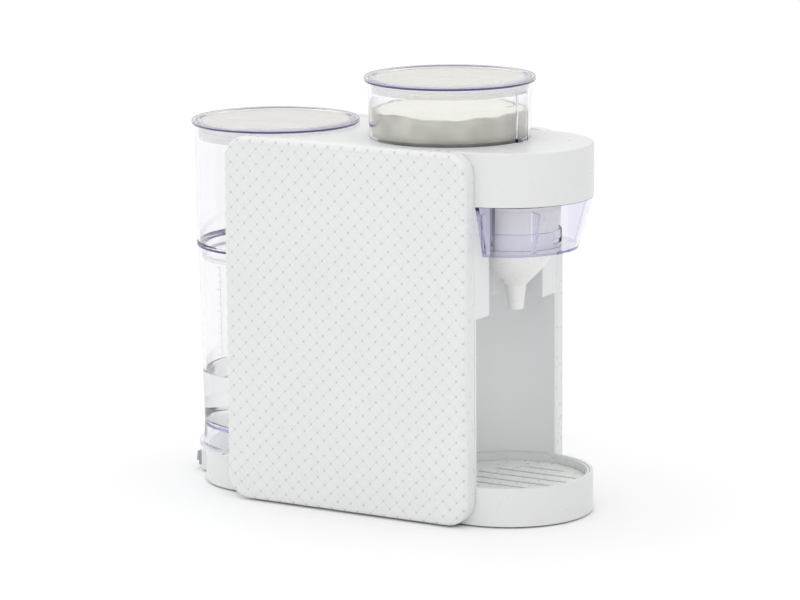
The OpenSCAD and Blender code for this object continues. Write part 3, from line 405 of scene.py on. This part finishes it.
MATERIALS = {
    "white": moulded("white_shell", (0.775, 0.785, 0.78)),
    "core": moulded("white_core", (0.76, 0.765, 0.765), rough=0.36),
    "bay": moulded("bay_white", (0.85, 0.865, 0.865), rough=0.38),
    "tray": moulded("tray_white", (0.79, 0.80, 0.785), rough=0.30),
    "shell": printed_shell(),
    "trim": printed_trim(),
    "liner": moulded("grey_liner", (0.53, 0.54, 0.55), rough=0.55, grain=0.05),
    "food": moulded("white_food_plastic", (0.85, 0.85, 0.835), rough=0.38),
    "funnel": moulded("funnel_white", (0.86, 0.86, 0.845), rough=0.30),
    "lid_tank": clear("lid_tank", lid_rim("tank_lid", TANK, 3.6, 1.7), lid_disc("tank_lid", TANK), depth=7.0,
                      rough=0.05),
    "lid_hopper": clear("lid_hopper", lid_rim("powder_lid", HOPPER, 4.0, 2.0), lid_disc("powder_lid", HOPPER),
                        depth=7.0, rough=0.05),
    "hopper": clear("hopper_clear", depth=10.0),
    "sleeve": clear("sleeve_clear", SLEEVE_RING, depth=10.0),
    "vessel": clear("vessel_clear", depth=10.0),
    "cover": clear("cover_clear", depth=20.0, tint=(0.972, 0.970, 0.988), rough=0.04, ior=1.30),
    "collar": clear("collar_clear", depth=16.0, tint=(0.975, 0.975, 0.985), rough=0.06),
    "silicone": silicone("silicone", (0.80, 0.80, 0.79)),
    "rubber": moulded("rubber", (0.06, 0.06, 0.062), rough=0.75, grain=0.08, edge=0.3),
    "steel": metal("steel", (0.62, 0.62, 0.63), 0.30),
    "aluminium": metal("aluminium", (0.78, 0.79, 0.80), 0.38, stretch=(1, 1, 0.05)),
    "dark": moulded("dark_plastic", (0.035, 0.035, 0.04), rough=0.45, grain=0.05, edge=0.3),
    "grey": moulded("grey_plastic", (0.33, 0.34, 0.35), rough=0.42, grain=0.04, edge=0.3),
    "silver": moulded("silver_plastic", (0.50, 0.51, 0.53), rough=0.28, grain=0.03, coat=0.3, edge=0.3),
    "rocker": moulded("rocker_grey", (0.36, 0.38, 0.40), rough=0.35, grain=0.03, coat=0.2, edge=0.2),
    "board": board("circuit_board"),
    "tube": silicone("silicone_tube", (0.78, 0.80, 0.79), rough=0.35),
    "glass": moulded("display_glass", (0.012, 0.012, 0.015), rough=0.08, grain=0.002, coat=0.6, edge=0.2),
    "powder": milk_powder(),
    "water": water(),
    "ink_grey": ink("ink_grey", (0.42, 0.43, 0.45)),
    "ink_faint": ink("ink_faint", (0.62, 0.63, 0.66)),
    "lit": ink("lit_segment", (0.55, 0.92, 1.0), rough=0.3, glow=1.6),
}

LOOKS = {
    "white": ["top_cover", "base_tub"],
    "core": ["rear_fascia", "head_floor"],
    "bay": ["front_fascia"],
    "tray": ["drip_tray", "drip_grille"],
    "shell": ["left_side_shell", "right_side_shell"],
    "trim": ["left_trim_panel", "right_trim_panel"],
    "liner": ["pod_liners", "base_plate"],
    "food": ["water_nozzle", "powder_chute", "dosing_base", "powder_scraper", "dosing_wheel",
             "powder_agitator", "valve_body", "tank_socket", "start_button", "volume_up_button",
             "volume_down_button", "temperature_button", "wash_button"],
    "funnel": ["funnel"],
    "lid_tank": ["tank_lid"],
    "lid_hopper": ["powder_lid"],
    "hopper": ["powder_container"],
    "sleeve": ["tank_sleeve"],
    "vessel": ["tank_vessel"],
    "cover": ["funnel_cover"],
    "collar": ["funnel_collar"],
    "silicone": ["funnel_seal", "powder_lid_seal", "tank_lid_seal", "tank_joint_seal"],
    "rubber": ["rubber_feet", "valve_seal"],
    "steel": ["base_screws", "head_screws", "valve_poppet", "valve_spring", "motor_bracket",
              "motor_shaft", "gear_motor"],
    "aluminium": ["inline_heater"],
    "dark": ["water_pump", "mains_inlet"],
    "grey": ["drive_coupling", "power_switch_frame"],
    "silver": ["control_bezel"],
    "rocker": ["power_switch_rocker"],
    "board": ["main_pcb", "control_pcb"],
    "tube": ["tank_to_pump_tube", "pump_to_heater_tube", "heater_to_nozzle_tube"],
    "glass": ["display_window"],
}

for look, names in LOOKS.items():
    for name in names:
        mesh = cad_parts[name].data
        mesh.materials.clear()
        mesh.materials.append(MATERIALS[look].material)


# ------------------------------------------------------------------ pieces

def piece(name, body, verts, faces, look, smooth=True):
    """A new object on a body, with a look of MATERIALS."""
    mesh = bpy.data.meshes.new(name)
    mesh.from_pydata([tuple(v) for v in verts], [], faces)
    mesh.validate()
    mesh.update()
    if smooth:
        mesh.polygons.foreach_set("use_smooth", [True] * len(mesh.polygons))
    mesh.materials.append(MATERIALS[look].material)
    obj = bpy.data.objects.new(name, mesh)
    scene.collection.objects.link(obj)
    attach(obj, body)
    return obj


def lathe(rings, centre, count):
    """Vertices and faces of a closed body from rings of (radius, height), the first and last of radius 0.
    A height may be a function of x and y from the centre."""
    verts, faces = [], []
    rows = []
    for radius, height in rings:
        row = []
        for i in range(1 if radius == 0 else count):
            angle = 2 * math.pi * i / count
            x, y = radius * math.cos(angle), radius * math.sin(angle)
            z = height(x, y) if callable(height) else height
            row.append(len(verts))
            verts.append((centre.x + x, centre.y + y, z))
        rows.append(row)
    for low, high in zip(rows, rows[1:]):
        for i in range(count):
            k = (i + 1) % count
            if len(low) == 1:
                faces.append((low[0], high[k], high[i]))
            elif len(high) == 1:
                faces.append((low[i], low[k], high[0]))
            else:
                faces.append((low[i], low[k], high[k], high[i]))
    return verts, faces


POWDER_LEVEL = 21.8 * MM                  # above the container's floor
WATER_LEVEL = 43.2 * MM                   # above the vessel's floor
HOPPER_FLOOR = 9.0 * MM                   # above the container's foot
HOPPER_FLARE = 1.3 * MM                   # how much wider the container's mouth is than its floor
VESSEL_FLARE = 2.6 * MM


def powder_heap():
    """Formula powder in the container, lying a little uneven."""
    floor = bottom("powder_container") + HOPPER_FLOOR
    low = bottom("powder_container") + 0.4 * MM
    wall_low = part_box("powder_container")[1].x - HOPPER_FLARE - 2.2 * MM
    mouth = top("powder_container")
    level = floor + POWDER_LEVEL
    inner = wall_low - 4.4 * MM

    def wall(z):
        return wall_low + HOPPER_FLARE * (z - floor) / (mouth - floor) - 0.15 * MM

    def surface(x, y):
        far = math.hypot(x, y) / wall_low
        dunes = noise.noise(Vector((x * 45, y * 45, 0.3))) * 2.6
        waves = noise.noise(Vector((x * 140, y * 140, 2.0))) * 0.8
        lumps = noise.noise(Vector((x * 420, y * 420, 5.0))) * 0.25
        return level + (dunes + waves + lumps + 2.0 * (1 - far * far)) * MM

    rings = [(0, low), (inner, low), (inner, floor + 2.3 * MM), (wall(floor + 2.4 * MM), floor + 2.4 * MM)]
    rings += [(wall(floor + h * MM), floor + h * MM) for h in (7, 12, 17)]
    rings += [(wall(level) * k / 40, surface) for k in range(40, 0, -1)]
    rings += [(0, surface)]
    verts, faces = lathe(rings, HOPPER, 192)
    piece("formula_powder", "powder_hopper", verts, faces, "powder")


def tank_water():
    """Drinking water in the lower vessel, round the valve."""
    floor = top("valve_body") - 2.0 * MM
    level = floor + WATER_LEVEL
    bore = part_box("tank_vessel")[1].x - 6.4 * MM         # inside radius at the floor
    slope = VESSEL_FLARE / (146.6 * MM)

    def wall(z):
        return bore + slope * (z - floor) + 0.12 * MM

    rings = [(0, floor + 6.2 * MM), (3.0 * MM, floor + 6.2 * MM), (3.0 * MM, floor + 2.3 * MM),
             (12.6 * MM, floor + 2.3 * MM), (12.6 * MM, floor + 0.05 * MM), (bore - 2.6 * MM, floor + 0.05 * MM),
             (wall(floor + 2.5 * MM), floor + 2.5 * MM)]
    rings += [(wall(floor + h * MM), floor + h * MM) for h in (10, 18, 26, 34, 42)]
    rings += [(wall(level) - 0.1 * MM, level + 0.7 * MM), (wall(level) - 0.7 * MM, level + 0.15 * MM),
              (wall(level) - 2.2 * MM, level), (wall(level) * 0.5, level), (0, level)]
    verts, faces = lathe(rings, TANK, 160)
    piece("tank_water", "water_tank", verts, faces, "water")


def curved_mark(verts, faces, centre, radius_at, angle, width, low, high):
    """A thin printed bar on a round wall: width along the wall, from low to high, with its six sides."""
    proud, thick, steps = 0.1 * MM, 0.06 * MM, 6
    start = len(verts)
    for z in (low, high):
        for lift in (proud, proud + thick):
            for i in range(steps + 1):
                r = radius_at(z) + lift
                a = angle + width / r * (i / steps - 0.5)
                verts.append((centre.x + r * math.cos(a), centre.y + r * math.sin(a), z))
    n = steps + 1
    low_in, low_out, high_in, high_out = start, start + n, start + 2 * n, start + 3 * n
    for i in range(steps):
        faces.append((low_out + i, low_out + i + 1, high_out + i + 1, high_out + i))
        faces.append((low_in + i + 1, low_in + i, high_in + i, high_in + i + 1))
        faces.append((low_in + i, low_in + i + 1, low_out + i + 1, low_out + i))
        faces.append((high_out + i, high_out + i + 1, high_in + i + 1, high_in + i))
    for i in (0, steps):
        side = (low_in + i, low_out + i, high_out + i, high_in + i)
        faces.append(side if i == 0 else side[::-1])


def scales():
    """Level marks: plain ticks without lettering on the tank and on the powder container."""
    foot, rim = bottom("tank_vessel"), top("tank_vessel")
    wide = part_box("tank_vessel")[1].x - 1.6 * MM

    def vessel(z):
        return wide - VESSEL_FLARE * (rim - z) / (rim - foot - 20 * MM)

    verts, faces = [], []
    angle = math.radians(166)
    curved_mark(verts, faces, TANK, vessel, angle, 0.45 * MM, rim - 84 * MM, rim - 11 * MM)
    for i in range(13):
        z = rim - (12 + 6 * i) * MM
        length = (5.0 if i % 3 == 0 else 2.6) * MM
        curved_mark(verts, faces, TANK, vessel, angle - (length / 2 + 0.3 * MM) / wide, length, z - 0.2 * MM,
                    z + 0.2 * MM)
    piece("tank_scale", "water_tank", verts, faces, "ink_faint", smooth=False)

    floor, mouth = bottom("powder_container") + HOPPER_FLOOR, top("powder_container")
    low_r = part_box("powder_container")[1].x - HOPPER_FLARE

    def hopper(z):
        return low_r + HOPPER_FLARE * (z - floor) / (mouth - floor)

    verts, faces = [], []
    for z, length in ((mouth - 15 * MM, 7 * MM), (mouth - 25 * MM, 4 * MM), (mouth - 35 * MM, 4 * MM)):
        curved_mark(verts, faces, HOPPER, hopper, math.radians(-104), length, z - 0.25 * MM, z + 0.25 * MM)
    piece("hopper_scale", "powder_hopper", verts, faces, "ink_faint", smooth=False)


def flat_marks(name, body, x, centre, outlines, look, thick=0.08 * MM):
    """Thin prisms on a face that looks along +X. Each outline is a list of (y, z) in millimetres about centre,
    where y to the right for someone facing the controls is +Y."""
    verts, faces = [], []
    for outline in outlines:
        n = len(outline)
        start = len(verts)
        for lift in (0.0, thick):
            for y, z in outline:
                verts.append((x + 0.01 * MM + lift, centre.y + y * MM, centre.z + z * MM))
        faces.append(tuple(range(start + n, start + 2 * n)))
        faces.append(tuple(start + i for i in reversed(range(n))))
        for i in range(n):
            k = (i + 1) % n
            faces.append((start + i, start + k, start + n + k, start + n + i))
    piece(name, body, verts, faces, look, smooth=False)


def bar(y0, z0, y1, z1):
    return [(y0, z0), (y1, z0), (y1, z1), (y0, z1)]


def arc_band(radius, width, start, end, steps=28):
    """A ring sector as a chain of four-sided outlines."""
    out = []
    for i in range(steps):
        a, b = (math.radians(start + (end - start) * (i + k) / steps) for k in (0, 1))
        out.append([((radius + s) * math.cos(t), (radius + s) * math.sin(t))
                    for s, t in ((0, a), (width, a), (width, b), (0, b))])
    return out


def disc(radius, y=0.0, z=0.0, count=32):
    return [(y + radius * math.cos(2 * math.pi * i / count), z + radius * math.sin(2 * math.pi * i / count))
            for i in range(count)]


SEGMENTS = {"0": "abcdef", "1": "bc", "2": "abged", "3": "abgcd", "7": "abc"}


def digit(figure, y, z, h=14.0, w=7.0, t=1.3):
    """Bars of a seven-segment figure with its lower left corner at y, z."""
    half = h / 2
    spans = {"a": (t, h - t, w - t, h), "g": (t, half - t / 2, w - t, half + t / 2), "d": (t, 0, w - t, t),
             "f": (0, half + t / 4, t, h - t / 4), "b": (w - t, half + t / 4, w, h - t / 4),
             "e": (0, t / 4, t, half - t / 4), "c": (w - t, t / 4, w, half - t / 4)}
    return [bar(y + spans[k][0], z + spans[k][1], y + spans[k][2], z + spans[k][3]) for k in SEGMENTS[figure]]


def control_marks():
    screen = middle("display_window")
    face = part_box("display_window")[1].x
    lit = []
    for i, figure in enumerate("120"):
        lit += digit(figure, -16.5 + i * 10.0, -5.0)
    lit += digit("3", 15.0, 2.5, h=6.5, w=3.4, t=0.7) + digit("7", 19.4, 2.5, h=6.5, w=3.4, t=0.7)
    lit += [bar(-16.5, -10.5, 1.5, -9.6), disc(0.8, 16.0, -4.0, 20), disc(0.8, 20.0, -4.0, 20)]
    flat_marks("display_figures", "base", face, screen, lit, "lit", thick=0.04 * MM)

    def on(node, outlines):
        flat_marks(node + "_mark", node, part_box(node)[1].x, middle(node), outlines, "ink_grey")

    on("start_button", arc_band(4.6, 0.9, 120, 420) + [bar(-0.45, 2.0, 0.45, 6.6)])
    on("volume_up_button", [bar(-3.0, -0.5, 3.0, 0.5), bar(-0.5, 0.5, 0.5, 3.0), bar(-0.5, -3.0, 0.5, -0.5)])
    on("volume_down_button", [bar(-3.0, -0.5, 3.0, 0.5)])
    on("temperature_button", [bar(-0.5, -0.6, 0.5, 3.2), disc(1.3, 0.0, -1.7, 24)])
    drop = [(0, 3.0), (-0.9, 1.2), (-1.7, -0.2), (-1.8, -1.4), (-1.2, -2.4), (0, -2.9), (1.2, -2.4),
            (1.8, -1.4), (1.7, -0.2), (0.9, 1.2)]
    on("wash_button", [drop])


powder_heap()
tank_water()
scales()
control_marks()


# ------------------------------------------------------------------ floor and light

DIM_SIDE, LIT_SIDE, OVERHEAD = (0.29, 0.285, 0.29), (0.785, 0.785, 0.78), (1.20, 1.20, 1.20)
FLOOR_HALF = 12.0


def make_floor():
    mesh = bpy.data.meshes.new("floor")
    corners = [(x * FLOOR_HALF, y * FLOOR_HALF, 0) for x, y in ((-1, -1), (1, -1), (1, 1), (-1, 1))]
    mesh.from_pydata(corners, [], [(0, 1, 2, 3)])
    s = Shader("floor", Roughness=0.9)
    s.set("Base Color", s.mix(s.noise(3.0, 2.0), (0.94, 0.94, 0.94), (0.95, 0.95, 0.95)))
    mesh.materials.append(s.material)
    floor = bpy.data.objects.new("floor", mesh)
    scene.collection.objects.link(floor)


def make_world():
    """Soft studio surroundings, brightest overhead, with a darker card in front of the nose."""
    world = bpy.data.worlds.new("studio")
    scene.world = world
    world.use_nodes = True
    tree = world.node_tree
    back = tree.nodes["Background"]
    coord = tree.nodes.new("ShaderNodeTexCoord")

    def towards(direction, low, high):
        """0 to 1 as the view turns towards a direction."""
        dot = tree.nodes.new("ShaderNodeVectorMath")
        dot.operation = "DOT_PRODUCT"
        tree.links.new(coord.outputs["Generated"], dot.inputs[0])
        dot.inputs[1].default_value = Vector(direction).normalized()
        span = tree.nodes.new("ShaderNodeMapRange")
        span.interpolation_type = "SMOOTHSTEP"
        tree.links.new(dot.outputs["Value"], span.inputs[0])
        span.inputs[1].default_value, span.inputs[2].default_value = low, high
        return span.outputs[0]

    def blend(factor, a, b):
        mix = tree.nodes.new("ShaderNodeMix")
        mix.data_type = "RGBA"
        tree.links.new(factor, mix.inputs[0])
        for socket, colour in ((mix.inputs[6], a), (mix.inputs[7], b)):
            if isinstance(colour, bpy.types.NodeSocket):
                tree.links.new(colour, socket)
            else:
                socket.default_value = (*colour, 1.0)
        return mix.outputs[2]

    sides = blend(towards((0.35, -0.94, 0.05), -0.15, 0.85), LIT_SIDE, DIM_SIDE)
    colour = blend(towards((0, 0, 1), 0.05, 0.75), sides, OVERHEAD)
    tree.links.new(colour, back.inputs["Color"])
    back.inputs["Strength"].default_value = 1.0


def area_light(name, where, aim, size, power):
    data = bpy.data.lights.new(name, "AREA")
    data.shape = "RECTANGLE"
    data.size, data.size_y = size
    data.energy = power
    lamp = bpy.data.objects.new(name, data)
    lamp.location = where
    lamp.rotation_mode = "QUATERNION"
    lamp.rotation_quaternion = (Vector(aim) - Vector(where)).to_track_quat("-Z", "Y")
    scene.collection.objects.link(lamp)


make_floor()
make_world()
area_light("key", (-1.6, -1.1, 1.7), (0, 0, 0.2), (0.8, 0.8), 3)

scene.view_settings.view_transform = "Standard"
scene.cycles.max_bounces = 24
scene.cycles.transmission_bounces = 20
scene.cycles.transparent_max_bounces = 32
scene.cycles.glossy_bounces = 8
scene.cycles.diffuse_bounces = 4
